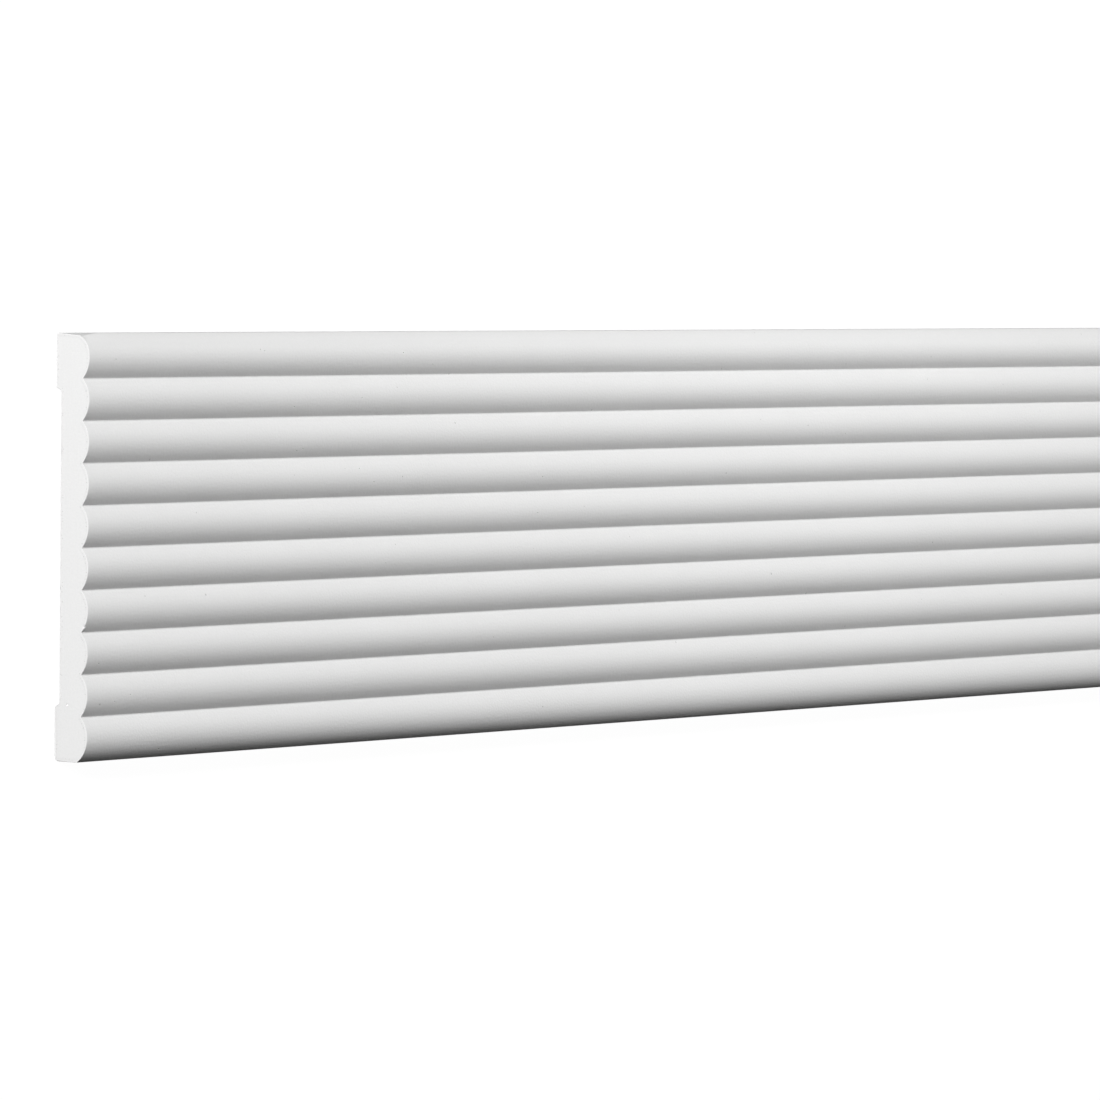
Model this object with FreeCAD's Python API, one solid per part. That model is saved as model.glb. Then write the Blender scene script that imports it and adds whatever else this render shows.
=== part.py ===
import FreeCAD
import Part
import math
import os

# A ten-reed dado rail: one length of rigid white foam moulding, lying on its back.
# X runs along the length, Y across the width towards the edge that is up on the wall,
# Z from the wall out to the crests of the reeds. The two back lands lie at Z = 0.

# Overall stock
LENGTH = 2000.0
WIDTH = 200.0
THICKNESS = 20.0

# Reeded front: equal round ribs side by side, crest up to the full thickness
REED_PITCH = 19.7
REED_RADIUS = 14.0
# The first and last reed run on past the line of a valley, to the edge face
EDGE_RUN = 1.5
# Their outer half turns down more steeply, to this far under the crest
EDGE_DROP = 6.2
# The mould softens the root between two reeds
VALLEY_RADIUS = 0.8
# The arris where the last reed meets the edge face
FRONT_ARRIS_RADIUS = 0.9

# Back: two lands that touch the wall, with a shallow recess for adhesive between them
LAND_WIDTH = 25.5
RECESS_DEPTH = 3.0
SHOULDER_RUN = 1.7
BACK_ARRIS_RADIUS = 1.2

HALF_WIDTH = WIDTH / 2

# Whole reeds fill the width, at the pitch above or the nearest one that fits
REEDED_WIDTH = WIDTH - 2 * EDGE_RUN
REED_COUNT = round(REEDED_WIDTH / REED_PITCH)
FITTED_PITCH = REEDED_WIDTH / REED_COUNT
TOP_REED_Y = FITTED_PITCH * (REED_COUNT - 1) / 2
REED_CENTRE_Z = THICKNESS - REED_RADIUS

# Angle, at a reed's centre, of the line to the centre of the root round beside it
ROOT_ANGLE = math.degrees(math.acos(FITTED_PITCH / 2 / (REED_RADIUS + VALLEY_RADIUS)))

# The outer half of an edge reed: an arc from the crest, level there, to the edge face
EDGE_REACH = FITTED_PITCH / 2 + EDGE_RUN
EDGE_REED_RADIUS = (EDGE_REACH ** 2 + EDGE_DROP ** 2) / (2 * EDGE_DROP)
EDGE_CENTRE_Z = THICKNESS - EDGE_REED_RADIUS

# Angle, at an edge reed's centre, of the line to the centre of the front arris round
ARRIS_REACH = EDGE_REACH - FRONT_ARRIS_RADIUS
ARRIS_SPAN = EDGE_REED_RADIUS - FRONT_ARRIS_RADIUS
ARRIS_ANGLE = math.degrees(math.acos(ARRIS_REACH / ARRIS_SPAN))


def point(y, z):
    """A point of the section at the left sawn end."""
    return FreeCAD.Vector(-LENGTH / 2, y, z)


def on_circle(centre, radius, degrees):
    """The point of a circle at an angle from +Y towards +Z."""
    angle = math.radians(degrees)
    y = centre[0] + radius * math.cos(angle)
    z = centre[1] + radius * math.sin(angle)
    return point(y, z)


def arc(centre, radius, start, end):
    """An arc of the section through its middle point."""
    first = on_circle(centre, radius, start)
    middle = on_circle(centre, radius, (start + end) / 2)
    last = on_circle(centre, radius, end)
    return Part.Arc(first, middle, last).toShape()


def line(start, end):
    return Part.LineSegment(point(*start), point(*end)).toShape()


def root_edge(y):
    """The small round at the bottom of the valley at this height."""
    rise = (REED_RADIUS + VALLEY_RADIUS) * math.sin(math.radians(ROOT_ANGLE))
    centre = (y, REED_CENTRE_Z + rise)
    return arc(centre, VALLEY_RADIUS, -ROOT_ANGLE, ROOT_ANGLE - 180)


def arris_centre(side):
    """Centre of the front arris round: side is 1 at the upper edge and -1 at the lower."""
    rise = ARRIS_SPAN * math.sin(math.radians(ARRIS_ANGLE))
    return (side * (HALF_WIDTH - FRONT_ARRIS_RADIUS), EDGE_CENTRE_Z + rise)


def upper_edge_reed():
    """Edge face side to the first valley, with the steeper outer half."""
    outer = arc((TOP_REED_Y, EDGE_CENTRE_Z), EDGE_REED_RADIUS, ARRIS_ANGLE, 90)
    inner = arc((TOP_REED_Y, REED_CENTRE_Z), REED_RADIUS, 90, 180 - ROOT_ANGLE)
    round_edge = arc(arris_centre(1), FRONT_ARRIS_RADIUS, 0, ARRIS_ANGLE)
    return [round_edge, outer, inner]


def lower_edge_reed():
    """Last valley to the edge face side, the mirror of the upper one."""
    inner = arc((-TOP_REED_Y, REED_CENTRE_Z), REED_RADIUS, ROOT_ANGLE, 90)
    outer = arc((-TOP_REED_Y, EDGE_CENTRE_Z), EDGE_REED_RADIUS, 90, 180 - ARRIS_ANGLE)
    round_edge = arc(arris_centre(-1), FRONT_ARRIS_RADIUS, 180 - ARRIS_ANGLE, 180)
    return [inner, outer, round_edge]


def front_edges():
    """All ten reeds, from the upper edge face to the lower one."""
    edges = upper_edge_reed()
    for index in range(1, REED_COUNT):
        reed_y = TOP_REED_Y - index * FITTED_PITCH
        edges.append(root_edge(reed_y + FITTED_PITCH / 2))
        if index < REED_COUNT - 1:
            reed_centre = (reed_y, REED_CENTRE_Z)
            edges.append(arc(reed_centre, REED_RADIUS, ROOT_ANGLE, 180 - ROOT_ANGLE))
    return edges + lower_edge_reed()


def back_edges():
    """Lower land, recess and upper land, from the lower edge face to the upper one."""
    land_end = HALF_WIDTH - LAND_WIDTH
    recess_end = land_end - SHOULDER_RUN
    corner = HALF_WIDTH - BACK_ARRIS_RADIUS
    lower_corner = (-corner, BACK_ARRIS_RADIUS)
    upper_corner = (corner, BACK_ARRIS_RADIUS)
    edges = [arc(lower_corner, BACK_ARRIS_RADIUS, 180, 270)]
    edges.append(line((-corner, 0), (-land_end, 0)))
    edges.append(line((-land_end, 0), (-recess_end, RECESS_DEPTH)))
    edges.append(line((-recess_end, RECESS_DEPTH), (recess_end, RECESS_DEPTH)))
    edges.append(line((recess_end, RECESS_DEPTH), (land_end, 0)))
    edges.append(line((land_end, 0), (corner, 0)))
    edges.append(arc(upper_corner, BACK_ARRIS_RADIUS, 270, 360))
    return edges


def edge_face(side):
    """The flat narrow face between the back arris and the front arris."""
    front_z = arris_centre(side)[1]
    low = (side * HALF_WIDTH, BACK_ARRIS_RADIUS)
    high = (side * HALF_WIDTH, front_z)
    if side > 0:
        return line(low, high)
    return line(high, low)


def rail():
    """The closed section drawn out along the length."""
    edges = [edge_face(1)]
    edges += front_edges()
    edges.append(edge_face(-1))
    edges += back_edges()
    section = Part.Face(Part.Wire(edges))
    return section.extrude(FreeCAD.Vector(LENGTH, 0, 0))


os.makedirs("parts", exist_ok=True)
dado_rail = rail()
dado_rail.exportStep("parts/dado_rail.step")
box = dado_rail.BoundBox
print("dado_rail valid", dado_rail.isValid(), "solids", len(dado_rail.Solids))
print("volume mm3", round(dado_rail.Volume), "faces", len(dado_rail.Faces))
print("size mm", round(box.XLength, 3), round(box.YLength, 3), round(box.ZLength, 3))
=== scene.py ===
# %% [markdown]
# # A length of reeded dado rail
# The real thing is one moulded piece of rigid white foam with a thin factory primer.
# It lies on its back, ten round reeds up, and one sawn end faces the camera.
# Everything here is in metres, in the frame of the solid model: X along the length,
# Y across the width, Z from the wall side out to the crests of the reeds.

# %% Load the solid model
import math

import bmesh
import bpy
from mathutils import Matrix, Vector


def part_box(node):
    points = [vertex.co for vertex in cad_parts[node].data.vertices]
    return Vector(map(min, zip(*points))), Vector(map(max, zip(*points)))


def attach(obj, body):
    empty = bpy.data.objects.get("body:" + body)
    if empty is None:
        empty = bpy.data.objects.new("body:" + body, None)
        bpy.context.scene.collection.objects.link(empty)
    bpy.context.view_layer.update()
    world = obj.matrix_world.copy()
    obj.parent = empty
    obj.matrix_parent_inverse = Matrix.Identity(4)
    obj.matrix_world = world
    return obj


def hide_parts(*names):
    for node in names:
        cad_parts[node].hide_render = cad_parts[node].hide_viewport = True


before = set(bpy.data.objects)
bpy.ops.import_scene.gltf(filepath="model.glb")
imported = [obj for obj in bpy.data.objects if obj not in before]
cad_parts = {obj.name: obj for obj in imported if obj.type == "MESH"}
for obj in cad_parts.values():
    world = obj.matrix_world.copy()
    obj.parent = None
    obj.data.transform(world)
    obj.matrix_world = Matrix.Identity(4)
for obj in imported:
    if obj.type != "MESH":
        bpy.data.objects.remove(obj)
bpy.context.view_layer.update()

MM = 0.001
low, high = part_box("dado_rail")
LENGTH, WIDTH, THICKNESS = high - low
print("rail length, width, thickness:", [round(v, 4) for v in (LENGTH, WIDTH, THICKNESS)])

# %% [markdown]
# ## The camera
# The photograph looks at the reeded face from the left, with the sawn end close and the
# other end cut off by the frame. A long lens keeps the reeds nearly parallel. The eye and
# the point it looks at are real places in the rail's frame, and no lens shift is used, so
# that the same camera also centres the rail from other sides.

# %% Camera
EYE = Vector((-3.6358, 0.1406, 2.3060))
LOOK_AT = Vector((-0.6467, -0.0099, 0.0200))
LENS_MM = 245.5
SENSOR_MM = 36.0
LEAN = math.radians(0.53)


def aim_camera(eye, target, lean):
    """A camera at the eye whose picture is upright along +Y, turned by the lean."""
    forward = (target - eye).normalized()
    right = forward.cross(Vector((0, 1, 0))).normalized()
    up = right.cross(forward)
    up.rotate(Matrix.Rotation(-lean, 3, forward))
    right = forward.cross(up)
    data = bpy.data.cameras.new("photo_camera")
    data.lens = LENS_MM
    data.sensor_width = SENSOR_MM
    camera = bpy.data.objects.new("photo_camera", data)
    turn = Matrix((right, up, -forward)).transposed()
    camera.matrix_world = Matrix.Translation(eye) @ turn.to_4x4()
    bpy.context.scene.collection.objects.link(camera)
    bpy.context.scene.camera = camera


aim_camera(EYE, LOOK_AT, LEAN)
print("camera distance:", round((LOOK_AT - EYE).length, 3))

# %% [markdown]
# ## The section
# On the real rail the section is cut into the mould, so it is the same all along the
# length. It could be drawn as a curve and bevelled, but arcs that are spun from a single
# vertex keep their true centres and radii. Only the upper half is drawn: the section is
# the same above and below its middle, so a mirror makes the other half.

# %% Sizes of the section
REED_COUNT = 10
REED_PITCH = 19.7 * MM
REED_RADIUS = 14.0 * MM
EDGE_RUN = 1.5 * MM
EDGE_DROP = 6.2 * MM
VALLEY_RADIUS = 0.8 * MM
FRONT_ARRIS_RADIUS = 0.9 * MM
LAND_WIDTH = 25.5 * MM
RECESS_DEPTH = 3.0 * MM
SHOULDER_RUN = 1.7 * MM
BACK_ARRIS_RADIUS = 1.2 * MM

HALF_WIDTH = WIDTH / 2
LAND_END_Y = HALF_WIDTH - LAND_WIDTH
BACK_CORNER_Y = HALF_WIDTH - BACK_ARRIS_RADIUS
REED_CENTRE_Z = THICKNESS - REED_RADIUS
TOP_REED_Y = REED_PITCH * (REED_COUNT - 1) / 2
ROOT_SPAN = REED_RADIUS + VALLEY_RADIUS
ROOT_ANGLE = math.acos(REED_PITCH / 2 / ROOT_SPAN)
ROOT_CENTRE_Z = REED_CENTRE_Z + ROOT_SPAN * math.sin(ROOT_ANGLE)
EDGE_REACH = REED_PITCH / 2 + EDGE_RUN
EDGE_REED_RADIUS = (EDGE_REACH ** 2 + EDGE_DROP ** 2) / (2 * EDGE_DROP)
EDGE_REED_CENTRE_Z = THICKNESS - EDGE_REED_RADIUS
ARRIS_SPAN = EDGE_REED_RADIUS - FRONT_ARRIS_RADIUS
ARRIS_ANGLE = math.acos((EDGE_REACH - FRONT_ARRIS_RADIUS) / ARRIS_SPAN)
ARRIS_CENTRE_Z = EDGE_REED_CENTRE_Z + ARRIS_SPAN * math.sin(ARRIS_ANGLE)
print("edge reed radius mm:", round(EDGE_REED_RADIUS / MM, 2))

# %% Tools for the section
LENGTHWISE = Vector((1, 0, 0))
RIGHT_ANGLE = math.pi / 2
REED_STEPS = 36
ROUND_STEPS = 6


def arc(bm, y, z, radius, start, end, steps):
    """One arc of the section about (y, z), its angles measured from +Y towards +Z."""
    place = (low.x, y + radius * math.cos(start), z + radius * math.sin(start))
    first = bm.verts.new(place)
    bmesh.ops.spin(bm, geom=[first], cent=(low.x, y, z), axis=LENGTHWISE,
                   angle=end - start, steps=steps, use_duplicate=False)


def straight(bm, start, end):
    """One straight stretch of the section between two (y, z) points."""
    bm.edges.new([bm.verts.new((low.x, y, z)) for y, z in (start, end)])


print("steps along a reed and a round:", REED_STEPS, ROUND_STEPS)

# %% Upper half of the section
def draw_reeds(bm):
    """Half of the middle valley, four whole reeds and the inner half of the edge reed."""
    arc(bm, 0, ROOT_CENTRE_Z, VALLEY_RADIUS, -RIGHT_ANGLE, -ROOT_ANGLE, ROUND_STEPS // 2)
    for index in range(REED_COUNT // 2):
        reed_y = TOP_REED_Y - index * REED_PITCH
        start = ROOT_ANGLE if index else RIGHT_ANGLE
        steps = REED_STEPS if index else REED_STEPS // 2
        arc(bm, reed_y, REED_CENTRE_Z, REED_RADIUS, start, math.pi - ROOT_ANGLE, steps)
        if index:
            valley_y = reed_y + REED_PITCH / 2
            arc(bm, valley_y, ROOT_CENTRE_Z, VALLEY_RADIUS,
                ROOT_ANGLE - math.pi, -ROOT_ANGLE, ROUND_STEPS)


def draw_edge(bm):
    """The outer half of the edge reed, its arris, the edge face and the back arris."""
    arc(bm, TOP_REED_Y, EDGE_REED_CENTRE_Z, EDGE_REED_RADIUS,
        ARRIS_ANGLE, RIGHT_ANGLE, REED_STEPS // 2)
    arris_y = HALF_WIDTH - FRONT_ARRIS_RADIUS
    arc(bm, arris_y, ARRIS_CENTRE_Z, FRONT_ARRIS_RADIUS, 0, ARRIS_ANGLE, ROUND_STEPS)
    straight(bm, (HALF_WIDTH, BACK_ARRIS_RADIUS), (HALF_WIDTH, ARRIS_CENTRE_Z))
    arc(bm, BACK_CORNER_Y, BACK_ARRIS_RADIUS, BACK_ARRIS_RADIUS, -RIGHT_ANGLE, 0, ROUND_STEPS)


def draw_back(bm):
    """The land that touches the wall, the sloped shoulder and half of the recess."""
    land_end = (LAND_END_Y, 0)
    recess_end = (LAND_END_Y - SHOULDER_RUN, RECESS_DEPTH)
    straight(bm, (BACK_CORNER_Y, 0), land_end)
    straight(bm, land_end, recess_end)
    straight(bm, recess_end, (0, RECESS_DEPTH))


shell = bmesh.new()
draw_reeds(shell)
draw_edge(shell)
draw_back(shell)
print("points of the half section, ends doubled:", len(shell.verts))

# %% [markdown]
# ## From section to rail
# The half section is mirrored, filled and extruded to the full length. The sawn end then
# gets what a saw leaves on this stock. The skin of the moulding is denser than the foam
# inside, so it stands as a narrow band, a hair proud of the core, and just inside it
# runs a border of larger cells. Both could be painted on, but two insets of the end face
# follow the section exactly and give real steps, and a fine bevel breaks the arris
# around them.

# %% Rail body
WELD = 0.001 * MM


def draw_out(bm):
    """The plain rail from its half section: mirrored, filled and extruded."""
    bmesh.ops.remove_doubles(bm, verts=bm.verts[:], dist=WELD)
    bmesh.ops.mirror(bm, geom=bm.verts[:] + bm.edges[:], matrix=Matrix.Identity(4),
                     merge_dist=WELD, axis="Y")
    section = bmesh.ops.contextual_create(bm, geom=bm.edges[:])["faces"]
    grown = bmesh.ops.extrude_face_region(bm, geom=section)["geom"]
    far_end = [v for v in grown if isinstance(v, bmesh.types.BMVert)]
    bmesh.ops.translate(bm, verts=far_end, vec=LENGTHWISE * LENGTH)
    bmesh.ops.recalc_face_normals(bm, faces=bm.faces[:])


def closed(bm):
    """Whether every edge of the shell joins two faces."""
    return all(len(e.link_faces) == 2 for e in bm.edges)


draw_out(shell)
print("section points:", len(shell.verts) // 2, "faces:", len(shell.faces),
      "closed:", closed(shell))

# %% Tools for the sawn ends
SKIN = 0.55 * MM
BORDER = 1.0 * MM
CORE_SINK = 0.06 * MM
ARRIS_BREAK = 0.22 * MM
# A sawn face looks along the rail at least this squarely
SAWN = 0.99
# A face of the back looks this far towards the wall, shoulders of the recess included
WALLWARDS = -0.3
FRONT, SKIN_CUT, PITTED, CORE, BACK = range(5)


def end_faces(bm):
    """The two many-sided faces that close the ends."""
    return [f for f in bm.faces if abs(f.normal.x) > SAWN and len(f.verts) > 4]


def at_recess(face):
    """Whether a face of the skin band lies along the adhesive recess."""
    middle = face.calc_center_median()
    return abs(middle.y) < LAND_END_Y and middle.z < RECESS_DEPTH + SKIN


def close_corners(bm, ends):
    """Draws each corner round of these faces into one point, to leave room for an inset."""
    targets = {}
    for side in (-1, 1):
        for radius, z in ((BACK_ARRIS_RADIUS, BACK_ARRIS_RADIUS),
                          (FRONT_ARRIS_RADIUS, ARRIS_CENTRE_Z)):
            centre = Vector((0, side * (HALF_WIDTH - radius), z))
            for end in ends:
                around = [v for v in end.verts if (v.co - centre).yz.length < radius]
                middle = around[len(around) // 2]
                targets.update({v: middle for v in around if v is not middle})
    bmesh.ops.weld_verts(bm, targetmap=targets)


print("end faces:", len(end_faces(shell)))

# %% Sawn ends
def saw_ends(bm):
    """Gives both ends the band of skin, the border and the core, and breaks their arrises."""
    ends = end_faces(bm)
    outline = [e for e in bm.edges if sum(f in ends for f in e.link_faces) == 1]
    for face in bm.faces:
        face.material_index = BACK if face.normal.z < WALLWARDS else FRONT
    band = bmesh.ops.inset_region(bm, faces=ends, thickness=SKIN, depth=0,
                                  use_boundary=True, use_even_offset=True)["faces"]
    for face in band:
        face.material_index = BACK if at_recess(face) else SKIN_CUT
    close_corners(bm, ends)
    ends = end_faces(bm)
    border = bmesh.ops.inset_region(bm, faces=ends, thickness=BORDER, depth=-CORE_SINK,
                                    use_boundary=True, use_even_offset=True)["faces"]
    for face in border:
        face.material_index = PITTED
    for face in ends:
        face.material_index = CORE
    bmesh.ops.bevel(bm, geom=outline, offset=ARRIS_BREAK, segments=2, profile=0.5,
                    affect="EDGES", material=-1)


saw_ends(shell)
print("faces with both ends sawn:", len(shell.faces), "closed:", closed(shell))

# %% Rings along the rail
# Distances in mm from the near end, closest together where it is knocked
END_RINGS = (0.5, 0.8, 1.2, 1.6, 2.2, 3, 6, 12, 25, 50)
STRETCHES = 20


def cut_lengthwise(bm, places):
    """Rings of vertices across the rail, where the surface needs them."""
    for x in places:
        whole = bm.verts[:] + bm.edges[:] + bm.faces[:]
        bmesh.ops.bisect_plane(bm, geom=whole, dist=WELD, plane_co=(x, 0, 0),
                               plane_no=LENGTHWISE)


cut_lengthwise(shell, [low.x + d * MM for d in END_RINGS])
cut_lengthwise(shell, [low.x + LENGTH * i / STRETCHES for i in range(1, STRETCHES)])
print("vertices:", len(shell.verts), "closed:", closed(shell))

# %% [markdown]
# ## Marks of making and handling
# The near end of the real rail has a few small marks: a chip out of the arris of the
# seventh reed, a crushed lower back corner, a bruise in the upper edge, and one open
# bubble that the saw went through. More than a dozen pinholes can be seen on the reeds.
# The chip, the corner and the bruise are made by pushing the vertices near them inwards,
# less and less with distance, as a knock does.
# Each bubble is cut out of the surface with planes and pushed in, so that it is a real
# pit: bump would only darken it from some sides.

# %% Chips
CHIP = Vector((low.x, -36.5 * MM, 18.2 * MM))
CORNER_NICK = Vector((low.x, low.y, 0.4 * MM))
EDGE_BRUISE = Vector((low.x + 2.5 * MM, high.y, 13 * MM))


def knock(bm, spot, reach, push):
    """Pushes the surface near the spot, most at the spot and nothing at the reach."""
    moved = 0
    for vert in bm.verts:
        near = 1 - (vert.co - spot).length / reach
        if near > 0:
            vert.co += push * near * near * (3 - 2 * near)
            moved += 1
    return moved


knocked = [knock(shell, CHIP, reach=1.3 * MM, push=Vector((0.5, -0.1, -0.45)) * MM),
           knock(shell, CORNER_NICK, reach=2.2 * MM, push=Vector((0.35, 0.4, 0.2)) * MM),
           knock(shell, EDGE_BRUISE, reach=8.5 * MM, push=Vector((0, -1.2, 0)) * MM)]
print("points moved by chip, nick and bruise:", knocked)

# %% Tools for the pits
X_AXIS, Y_AXIS, Z_AXIS = range(3)
# The rings of a pit from its rim inwards: the larger the share, the wider and deeper
PIT_RINGS = (0.3, 0.5, 0.8)


def cut_around(bm, faces, axis, place, radius):
    """Cuts these faces on both sides of a place along an axis."""
    for side in (-1, 1):
        inside = [f for f in faces if f.is_valid]
        edges = {e for f in inside for e in f.edges}
        points = {v for f in inside for v in f.verts}
        spot, normal = Vector((0, 0, 0)), Vector((0, 0, 0))
        spot[axis] = place + side * radius
        normal[axis] = 1
        cut = bmesh.ops.bisect_plane(bm, geom=inside + list(edges) + list(points),
                                     dist=WELD, plane_co=spot, plane_no=normal)
        faces = [f for f in cut["geom"] if isinstance(f, bmesh.types.BMFace)]
    return faces


def push_in(bm, faces, spot, radius, depth):
    """The face nearest to the spot becomes a pit with walls that steepen inwards."""
    pit = min(faces, key=lambda f: (f.calc_center_median() - spot).length)
    for share in PIT_RINGS:
        bmesh.ops.inset_individual(bm, faces=[pit],
                                   thickness=radius * share / len(PIT_RINGS),
                                   depth=-depth * share / sum(PIT_RINGS),
                                   use_even_offset=True)


print("rings in a pit:", len(PIT_RINGS))

# %% Bubble in the sawn end
def core_bubble(bm, y, z, radius, depth):
    """The bubble in the flat core of the near end."""
    faces = [f for f in bm.faces if f.material_index == CORE and f.normal.x < 0]
    faces = cut_around(bm, faces, Y_AXIS, y, radius)
    faces = cut_around(bm, faces, Z_AXIS, z, radius)
    push_in(bm, faces, Vector((low.x, y, z)), radius, depth)


core_bubble(shell, y=-73.4 * MM, z=7.6 * MM, radius=0.55 * MM, depth=0.6 * MM)
print("end bubble cut, closed:", closed(shell))

# %% Pinholes in the reeds
# Each one's distance from the near end, height above the rail's middle and radius, in mm
PINHOLES = [(8, 88, 0.35), (19, 88, 0.35), (125, 92, 0.35), (128, 91, 0.40),
            (234, 90, 0.35), (258, 84, 0.40), (202, 68, 0.35), (151, 64, 0.40),
            (154, 43, 0.40), (158, 44, 0.45), (201, 34, 0.35), (212, 27, 0.35),
            (347, 27, 0.35), (343, 9, 0.40), (163, 5, 0.40), (222, -13, 0.35),
            (9, -54, 0.45), (31, -69, 0.35), (20, -72, 0.40), (54, -96, 0.35),
            (610, 45, 0.40)]
PINHOLE_DEPTH = 0.5 * MM


def reed_height(y):
    """How far out the reeds stand at this height on the rail, to about 0.1 mm at the edges."""
    index = min(max(round((TOP_REED_Y - y) / REED_PITCH), 0), REED_COUNT - 1)
    out = y - (TOP_REED_Y - index * REED_PITCH)
    return REED_CENTRE_Z + math.sqrt(REED_RADIUS ** 2 - out ** 2)


def pinhole(bm, x, y, radius, depth):
    """A pinhole in the skin of a reed, this far from the near end and up the rail."""
    spot = Vector((low.x + x, y, reed_height(y)))
    near = [f for f in bm.faces if f.material_index == FRONT
            and (f.calc_center_median() - spot).yz.length < 3 * radius
            and min(v.co.x for v in f.verts) < spot.x < max(v.co.x for v in f.verts)]
    faces = cut_around(bm, near, X_AXIS, spot.x, radius)
    push_in(bm, faces, spot, radius, depth)


for x, y, radius in PINHOLES:
    pinhole(shell, x * MM, y * MM, radius * MM, PINHOLE_DEPTH)
print("pinholes:", len(PINHOLES), "faces:", len(shell.faces), "closed:", closed(shell))

# %% [markdown]
# ## Finishes
# Everything on the rail is white, so the finishes differ by their surface and not by
# their colour. Each is built from noise on the piece's own coordinates, in metres, so a
# feature has its real size: a noise of scale 1000 repeats about every millimetre. A
# painted image could do the same for one view, but this holds for every side.

# %% Tools for the finishes
def new_finish(name):
    """A material, its node tree, its shader and the coordinates it reads."""
    material = bpy.data.materials.new(name)
    material.use_nodes = True
    tree = material.node_tree
    place = tree.nodes.new("ShaderNodeTexCoord").outputs["Object"]
    return material, tree, tree.nodes["Principled BSDF"], place


def set_inputs(tree, node, inputs):
    """Links or sets each input, by its socket's name or number."""
    for socket, value in inputs.items():
        if isinstance(value, bpy.types.NodeSocket):
            tree.links.new(value, node.inputs[socket])
        else:
            node.inputs[socket].default_value = value


def add_node(tree, kind, inputs, **settings):
    """One node, its settings given by name."""
    node = tree.nodes.new("ShaderNode" + kind)
    for name, value in settings.items():
        setattr(node, name, value)
    set_inputs(tree, node, inputs)
    return node


def work_out(tree, operation, first, second):
    """One step of arithmetic on two values."""
    return add_node(tree, "Math", {0: first, 1: second}, operation=operation).outputs[0]


def ramp(tree, value, start, end, at_start, at_end):
    """A value that runs from one level to another while the given one goes start to end."""
    levels = {"From Min": start, "From Max": end, "To Min": at_start, "To Max": at_end}
    return add_node(tree, "MapRange", {"Value": value, **levels}).outputs[0]


print("finish tools ready")

# %% Tools for noise, greys and relief
def grain(tree, place, scale, detail=2.0, stretch=(1, 1, 1)):
    """Noise of a real size, drawn out along an axis where its stretch is small."""
    mapped = add_node(tree, "Mapping", {"Vector": place, "Scale": stretch})
    noise = add_node(tree, "TexNoise", {"Vector": mapped.outputs[0], "Scale": scale,
                                        "Detail": detail, "Roughness": 0.55})
    return noise.outputs[0]


def open_out(tree, noise, start, end):
    """The middle of a noise opened out to run from start to end."""
    return ramp(tree, noise, 0.25, 0.75, start, end)


# A Mix node has sockets for every kind of data: 2 and 3 take values, 6 and 7 colours
def mix_values(tree, share, first, second):
    """A value between two, nearer to the second where the share is larger."""
    return add_node(tree, "Mix", {0: share, 2: first, 3: second}).outputs[0]


def mix_colours(tree, share, first, second):
    """A colour between two, nearer to the second where the share is larger."""
    mix = add_node(tree, "Mix", {0: share, 6: first, 7: second}, data_type="RGBA")
    return mix.outputs[2]


def grey(level):
    """A white or grey of the primer, which is a touch warmer than neutral."""
    return (level, level, level * 0.997, 1)


def shade(tree, noise, dark, light):
    """A noise as a colour between two greys."""
    return mix_colours(tree, open_out(tree, noise, 0.0, 1.0), grey(dark), grey(light))


def relief(tree, height, depth, below=None):
    """Bump of a real depth in metres, over the bump below it."""
    inputs = {"Height": height, "Distance": depth, "Strength": 1.0}
    if below:
        inputs["Normal"] = below
    return add_node(tree, "Bump", inputs).outputs[0]


print("a middle grey of the primer:", grey(0.5))

# %% [markdown]
# ## Primed front
# The factory primer is sprayed on the moulding while it is new: matt, almost free of
# texture, with a very fine stipple, faint lines where the mould was drawn along, a soft
# waviness that only shows in grazing light, and a speck here and there where a bubble
# lay just under the skin; each speck is a pit, sunk by bump and greyed as painted shade.
# The colour is also darkened as painted shade down the flanks of the reeds and over the
# lower edge, a little over the upper edge and not at all on the crests. The height of a
# point above the valleys sets that shade, so it follows the reeds all along the rail.

# %% Specks in the primer
SPECK_SPACING = 38 * MM
LARGEST_SPECK = 0.75 * MM
# Grey of a pinhole's painted shade, and how far the colour goes towards it
SPECK_GREY = 0.25
SPECK_SHADE_SHARE = 0.55


def specks(tree, place):
    """One hole in each cell of a flat pattern, most of them too small to see."""
    scale = 1 / SPECK_SPACING
    cells = add_node(tree, "TexVoronoi", {"Vector": place, "Scale": scale},
                     voronoi_dimensions="2D")
    chance = add_node(tree, "SeparateColor", {0: cells.outputs["Color"]}).outputs[0]
    size = work_out(tree, "POWER", chance, 2.0)
    radius = work_out(tree, "MULTIPLY", size, LARGEST_SPECK * scale)
    return ramp(tree, cells.outputs["Distance"], 0.0, radius, 1.0, 0.0)


print("spacing of the specks mm:", round(SPECK_SPACING / MM))

# %% Painted shade towards the valleys
# Share of the colour left under the painted shade: in the valleys, and at least over the upper
# edge
VALLEY_SHADE_LEVEL = 0.885
UPPER_EDGE_SHADE_LEVEL = 0.95
ROOT_Z = ROOT_CENTRE_Z - VALLEY_RADIUS


def painted_valley_shade(tree, place, colour):
    """The colour, darker towards the valleys and over the lower edge, as painted shade."""
    _, up, out = add_node(tree, "SeparateXYZ", {0: place}).outputs
    flank_shade = ramp(tree, out, ROOT_Z, THICKNESS, VALLEY_SHADE_LEVEL, 1.0)
    at_upper_edge = work_out(tree, "GREATER_THAN", up, TOP_REED_Y)
    least_shade = ramp(tree, at_upper_edge, 0.0, 1.0, VALLEY_SHADE_LEVEL, UPPER_EDGE_SHADE_LEVEL)
    painted_shade = work_out(tree, "MAXIMUM", flank_shade, least_shade)
    return add_node(tree, "VectorMath", {0: colour, "Scale": painted_shade},
                    operation="SCALE").outputs[0]


# Height over which the painted shade fades out towards the crests
print("coat thins over mm:", round((THICKNESS - ROOT_Z) / MM, 2))

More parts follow.
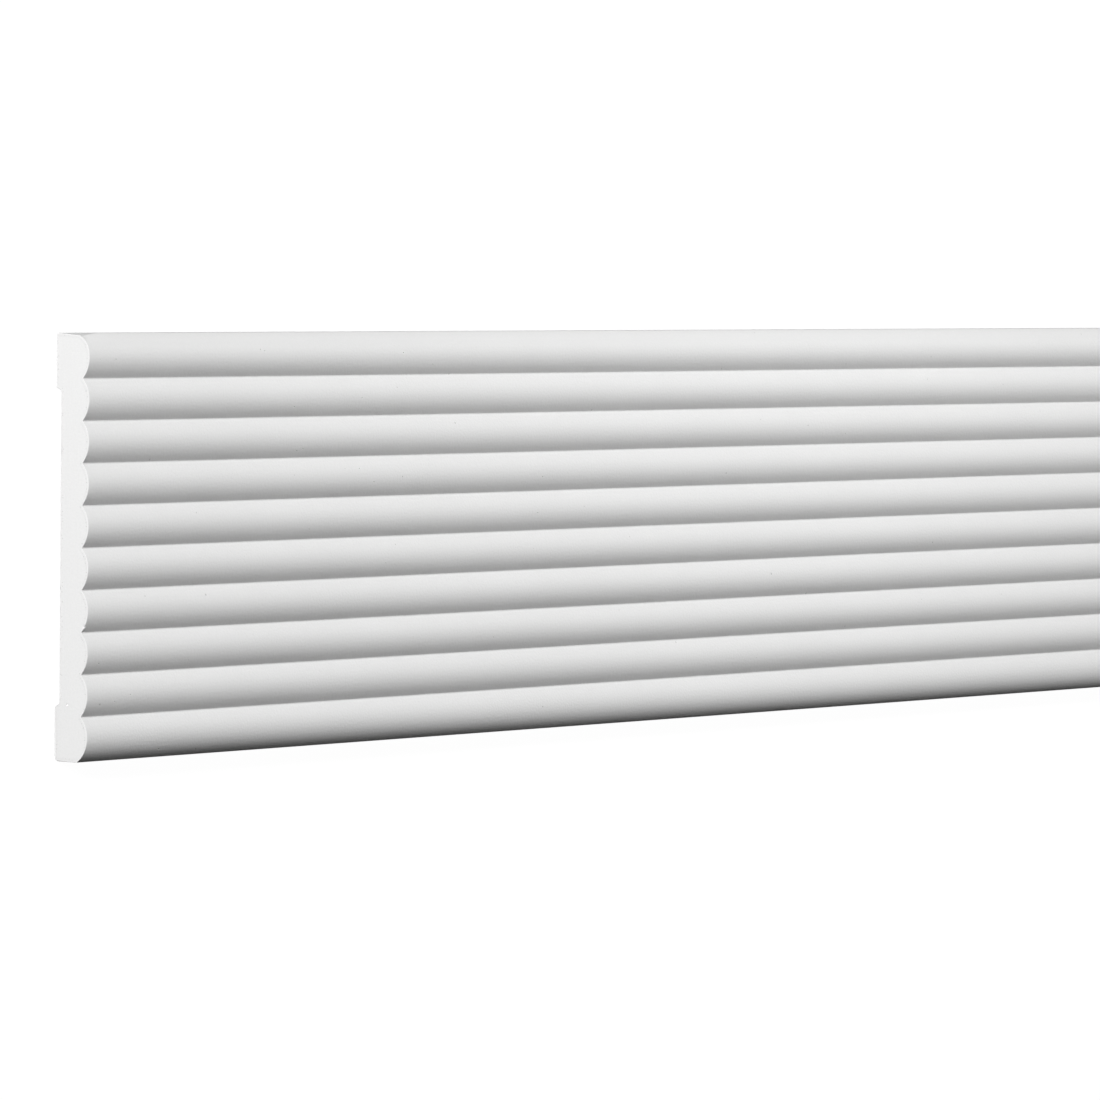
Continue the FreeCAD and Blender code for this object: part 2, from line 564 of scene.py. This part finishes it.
# %% Primer
def primed_finish():
    material, tree, shader, place = new_finish("primed_front")
    cloud = grain(tree, place, scale=26, detail=3.0)
    stipple = grain(tree, place, scale=800)
    lines = grain(tree, place, scale=1.0, detail=3.0, stretch=(7, 1500, 1500))
    wave = grain(tree, place, scale=60, detail=1.0, stretch=(0.25, 1, 1))
    speck = specks(tree, place)
    tone = mix_values(tree, 0.35, cloud, lines)
    tone = mix_values(tree, 0.5, tone, stipple)
    # Painted shade darkens the primer down the flanks and over the lower edge
    plain = painted_valley_shade(tree, place, shade(tree, tone, 0.838, 0.886))
    # Each pinhole is greyed as painted shade of the pit
    speck_shade = work_out(tree, "MULTIPLY", speck, SPECK_SHADE_SHARE)
    normal = relief(tree, wave, 0.05 * MM)
    normal = relief(tree, lines, 0.008 * MM, normal)
    normal = relief(tree, stipple, 0.12 * MM, normal)
    normal = relief(tree, work_out(tree, "SUBTRACT", 1.0, speck), 0.15 * MM, normal)
    set_inputs(tree, shader, {"Base Color": mix_colours(tree, speck_shade, plain, grey(SPECK_GREY)),
                              "Roughness": open_out(tree, stipple, 0.62, 0.76),
                              "Specular IOR Level": 0.2, "Normal": normal})
    return material


primed_front = primed_finish()
print("primer nodes:", len(primed_front.node_tree.nodes))

# %% [markdown]
# ## Sawn foam
# The saw opens the closed cells of the core, so the cut is a dull, finely pitted white,
# a little blotchy where the cells are larger. The skin round it is nearly solid and is
# cut clean, so it is brighter and smoother. Between the two the cells are few and large,
# and show as a row of small pits, each greyed as painted shade. The back is the plain skin
# of the mould, a little greyer than the primer, with the slow ripples of the foam as it
# set. One finish could tell these apart by their place, but a finish for each kind of face
# changes exactly at its edge.

# %% Sawn core and cut skin
CORE_CELLS_A_METRE = 1500.0


def core_finish():
    material, tree, shader, place = new_finish("sawn_foam_core")
    blotch = grain(tree, place, scale=900, detail=3.0)
    saw = grain(tree, place, scale=1.0, stretch=(1, 60, 2200))
    tone = mix_values(tree, 0.3, blotch, saw)
    cells = add_node(tree, "TexVoronoi", {"Vector": place, "Scale": CORE_CELLS_A_METRE})
    normal = relief(tree, cells.outputs["Distance"], 0.02 * MM)
    normal = relief(tree, blotch, 0.02 * MM, normal)
    set_inputs(tree, shader, {"Base Color": shade(tree, tone, 0.84, 0.895),
                              "Roughness": 0.92, "Specular IOR Level": 0.1,
                              "Normal": normal})
    return material


def cut_skin_finish():
    material, tree, shader, place = new_finish("sawn_skin")
    fine = grain(tree, place, scale=1800)
    set_inputs(tree, shader, {"Base Color": shade(tree, fine, 0.87, 0.895),
                              "Roughness": 0.7, "Specular IOR Level": 0.2,
                              "Normal": relief(tree, fine, 0.004 * MM)})
    return material


sawn_foam_core, sawn_skin = core_finish(), cut_skin_finish()
print("sawn finishes:", sawn_foam_core.name, sawn_skin.name)

# %% Pitted border and moulded back
BORDER_CELL = 0.9 * MM
# The largest pit's radius, as a share of a cell
LARGEST_PIT = 0.42
# The grey painted into each pit as its shade
PIT_SHADE_GREY = 0.6


def border_finish():
    material, tree, shader, place = new_finish("pitted_border")
    blotch = grain(tree, place, scale=900, detail=3.0)
    cells = add_node(tree, "TexVoronoi", {"Vector": place, "Scale": 1 / BORDER_CELL})
    chance = add_node(tree, "SeparateColor", {0: cells.outputs["Color"]}).outputs[0]
    radius = work_out(tree, "MULTIPLY", chance, LARGEST_PIT)
    pit = ramp(tree, cells.outputs["Distance"], 0.0, radius, 1.0, 0.0)
    plain = shade(tree, blotch, 0.835, 0.885)
    sunk = work_out(tree, "SUBTRACT", 1.0, pit)
    # The pits are greyed as painted shade
    set_inputs(tree, shader, {"Base Color": mix_colours(tree, pit, plain, grey(PIT_SHADE_GREY)),
                              "Roughness": 0.92, "Specular IOR Level": 0.1,
                              "Normal": relief(tree, sunk, 0.08 * MM)})
    return material


def back_finish():
    material, tree, shader, place = new_finish("moulded_back")
    ripple = grain(tree, place, scale=18, stretch=(0.5, 1, 1))
    fine = grain(tree, place, scale=700, detail=3.0)
    tone = mix_values(tree, 0.4, ripple, fine)
    normal = relief(tree, ripple, 0.25 * MM)
    set_inputs(tree, shader, {"Base Color": shade(tree, tone, 0.80, 0.84),
                              "Roughness": open_out(tree, ripple, 0.42, 0.6),
                              "Normal": relief(tree, fine, 0.01 * MM, normal)})
    return material


# In the order of FRONT, SKIN_CUT, PITTED, CORE and BACK
finishes = [primed_front, sawn_skin, border_finish(), sawn_foam_core, back_finish()]
print("finishes:", [m.name for m in finishes])

# %% [markdown]
# ## The finished rail
# The moulded faces are shaded smooth and the edges marked sharp where the surface really
# turns. The sawn faces are flat. Weighted normals keep the long flat faces flat next to
# the narrow rounds beside them.

# %% Body object
SHARP = math.radians(30)


def finished_object(bm, name, materials):
    """A smooth-shaded object at the origin, its edges sharp where the faces turn."""
    for face in bm.faces:
        face.smooth = abs(face.normal.x) < SAWN
    for edge in bm.edges:
        edge.smooth = edge.calc_face_angle(0) < SHARP
    mesh = bpy.data.meshes.new(name)
    bm.to_mesh(mesh)
    bm.free()
    for material in materials:
        mesh.materials.append(material)
    thing = bpy.data.objects.new(name, mesh)
    bpy.context.scene.collection.objects.link(thing)
    return thing


rail = finished_object(shell, "reeded_rail", finishes)
even = rail.modifiers.new("even_normals", "WEIGHTED_NORMAL")
even.keep_sharp = True
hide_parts("dado_rail")
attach(rail, "root")
print("rail faces:", len(rail.data.polygons))

# %% [markdown]
# ## White ground
# The photograph shows nothing but white round the rail. A white floor would throw light
# up at the rail, and its underside has to stay dark. So the floor is nearly black to the
# light and glows white only to the camera, with a faint shadow left in it. The world
# round it is made the same way, and lights nothing at all.

# %% Floor
FLOOR_SIDE = 16.0
FLOOR_GLOW = 0.985
FLOOR_SHADE = 0.07


def seen_directly(tree):
    """One where the camera or a mirror image of it looks, nought for the rest."""
    path = add_node(tree, "LightPath", {})
    seen = path.outputs["Is Camera Ray"]
    for other in ("Is Glossy Ray", "Is Transmission Ray"):
        seen = work_out(tree, "MAXIMUM", seen, path.outputs[other])
    return seen


def floor_finish():
    material = bpy.data.materials.new("white_ground")
    material.use_nodes = True
    tree = material.node_tree
    tree.nodes.clear()
    matt = add_node(tree, "BsdfDiffuse", {"Color": grey(FLOOR_SHADE)}).outputs[0]
    glow = add_node(tree, "Emission", {"Color": (1, 1, 1, 1), "Strength": FLOOR_GLOW})
    shown = add_node(tree, "AddShader", {0: matt, 1: glow.outputs[0]}).outputs[0]
    mixed = add_node(tree, "MixShader", {0: seen_directly(tree), 1: matt, 2: shown})
    add_node(tree, "OutputMaterial", {"Surface": mixed.outputs[0]})
    return material


floor_mesh = bpy.data.meshes.new("floor")
bm = bmesh.new()
bmesh.ops.create_grid(bm, x_segments=1, y_segments=1, size=FLOOR_SIDE / 2)
bm.to_mesh(floor_mesh)
bm.free()
floor_mesh.materials.append(floor_finish())
floor = bpy.data.objects.new("floor", floor_mesh)
bpy.context.scene.collection.objects.link(floor)
print("floor side:", FLOOR_SIDE)

# %% World
WORLD_FILL = 0.0
world = bpy.data.worlds.new("white_room")
bpy.context.scene.world = world
world.use_nodes = True
sky = world.node_tree
sky.nodes.clear()
white = add_node(sky, "Background", {"Color": (1, 1, 1, 1), "Strength": 1.0}).outputs[0]
fill = add_node(sky, "Background", {"Color": (1, 1, 1, 1), "Strength": WORLD_FILL})
both = add_node(sky, "MixShader", {0: seen_directly(sky), 1: fill.outputs[0], 2: white})
add_node(sky, "OutputWorld", {"Surface": both.outputs[0]})
bpy.context.scene.view_settings.view_transform = "Standard"
print("world fill:", WORLD_FILL)

# %% [markdown]
# ## Lamps
# Light from all round would flatten the reeds. Here it comes from the upper left, far
# round to the side of the sawn end, and a nearer lamp in front and above opens the lower
# half of each reed, with a faint one to its right. These four stand on the side of the
# upper edge, so the lower edge and the flank beside it get next to nothing. The far half
# and the far end lie outside the photograph. They get a lamp each, so that they can be
# seen from the other sides: one is kept off the near half by a narrow spread, and the
# other grazes the reeds and faces the end. Strengths are given so that a white card
# facing one lamp of strength one is just white.

# %% Tools for the lamps
ALL_ROUND = 180


def narrowing(spread):
    """How much brighter a lamp gets on its axis when its light is kept within a spread."""
    half = math.radians(spread) / 2
    return math.tan(half) / (math.tan(half) - half)


def stand_lamp(name, aim, side, height, distance, size, strength, spread=ALL_ROUND):
    """A round soft lamp: side and height are its angles from straight in front."""
    side, height = math.radians(side), math.radians(height)
    flat = math.cos(height)
    way = Vector((math.sin(side) * flat, math.sin(height), math.cos(side) * flat))
    data = bpy.data.lights.new(name, "AREA")
    data.shape = "DISK"
    data.size = size
    data.spread = math.radians(spread)
    data.energy = strength * (math.pi * distance) ** 2 / narrowing(spread)
    lamp = bpy.data.objects.new(name, data)
    lamp.location = aim + way * distance
    lamp.rotation_euler = way.to_track_quat("Z", "Y").to_euler()
    bpy.context.scene.collection.objects.link(lamp)


print("narrowing of a full spread:", round(narrowing(ALL_ROUND), 3))

# %% Lamps
RAIL_MIDDLE = Vector((-0.62, 0, 0.02))
RIGHT_PART = Vector((-0.30, 0, 0.02))
FAR_PART = Vector((0.80, 0, 0.02))
FAR_END = Vector((high.x, 0, 0.01))
stand_lamp("key_light", RAIL_MIDDLE, side=-75, height=15, distance=3.0, size=0.5,
           strength=0.58)
stand_lamp("upper_light", RAIL_MIDDLE, side=-65, height=25, distance=3.0, size=0.5,
           strength=0.31)
stand_lamp("front_light", RIGHT_PART, side=0, height=33, distance=1.3, size=0.3,
           strength=0.62)
stand_lamp("right_light", RIGHT_PART, side=30, height=30, distance=1.3, size=0.3,
           strength=0.06)
stand_lamp("far_light", FAR_PART, side=10, height=33, distance=1.1, size=0.3,
           strength=0.6, spread=75)
stand_lamp("far_end_light", FAR_END, side=85, height=0, distance=2.0, size=0.3,
           strength=0.4)
